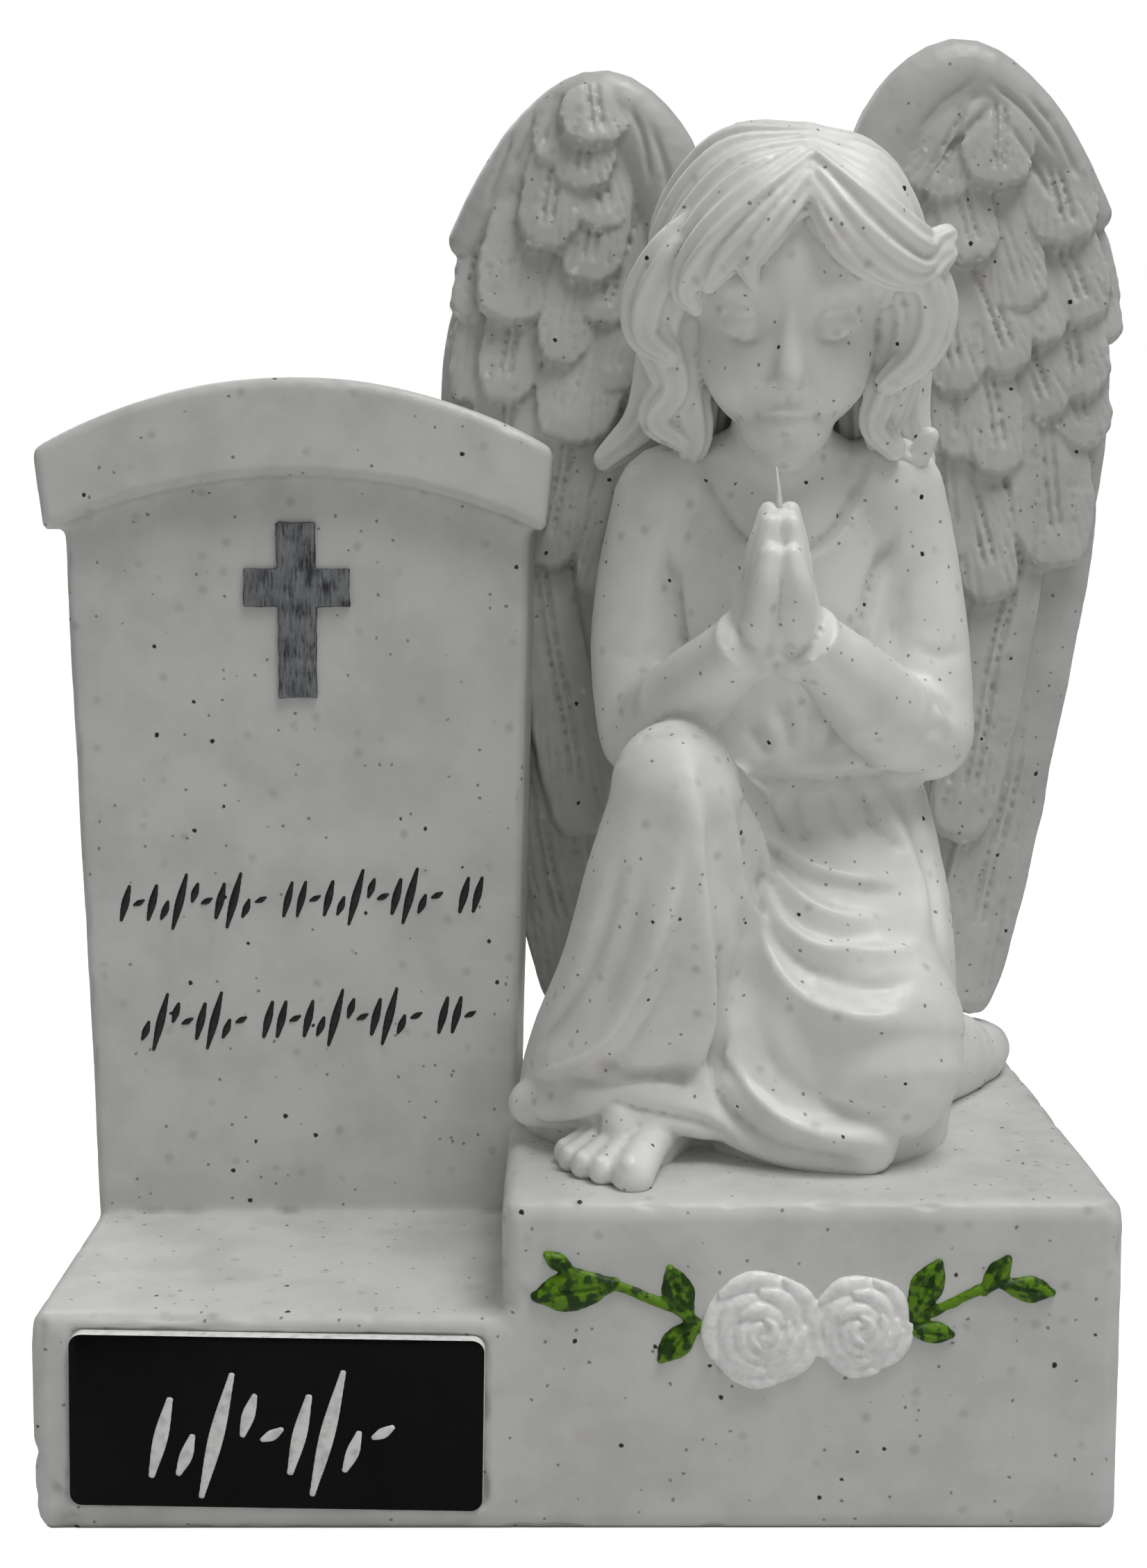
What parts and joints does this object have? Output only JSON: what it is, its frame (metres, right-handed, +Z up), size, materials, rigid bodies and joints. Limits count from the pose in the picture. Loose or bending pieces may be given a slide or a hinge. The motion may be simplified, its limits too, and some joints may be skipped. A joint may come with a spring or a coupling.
{
  "type": "angel memorial headstone ornament",
  "caption": "Small cast memorial: a kneeling angel in prayer beside an arched headstone with a cross, on a stepped plinth with a rose relief and a name plaque.",
  "frame": {"origin": "middle of the plinth's underside", "axes": "+Z up, front faces -Y, headstone at -X and angel at +X"},
  "size_m": [0.1569, 0.0807, 0.1994],
  "materials": {
    "marble_resin": "satin off-white marble-look resin with fine dark flecks",
    "black_laminate": "semi-gloss black engraving laminate with a white core"
  },
  "bodies": {
    "root": {"memorial_casting": "marble_resin", "name_plaque": "black_laminate"}
  },
  "joints": []
}
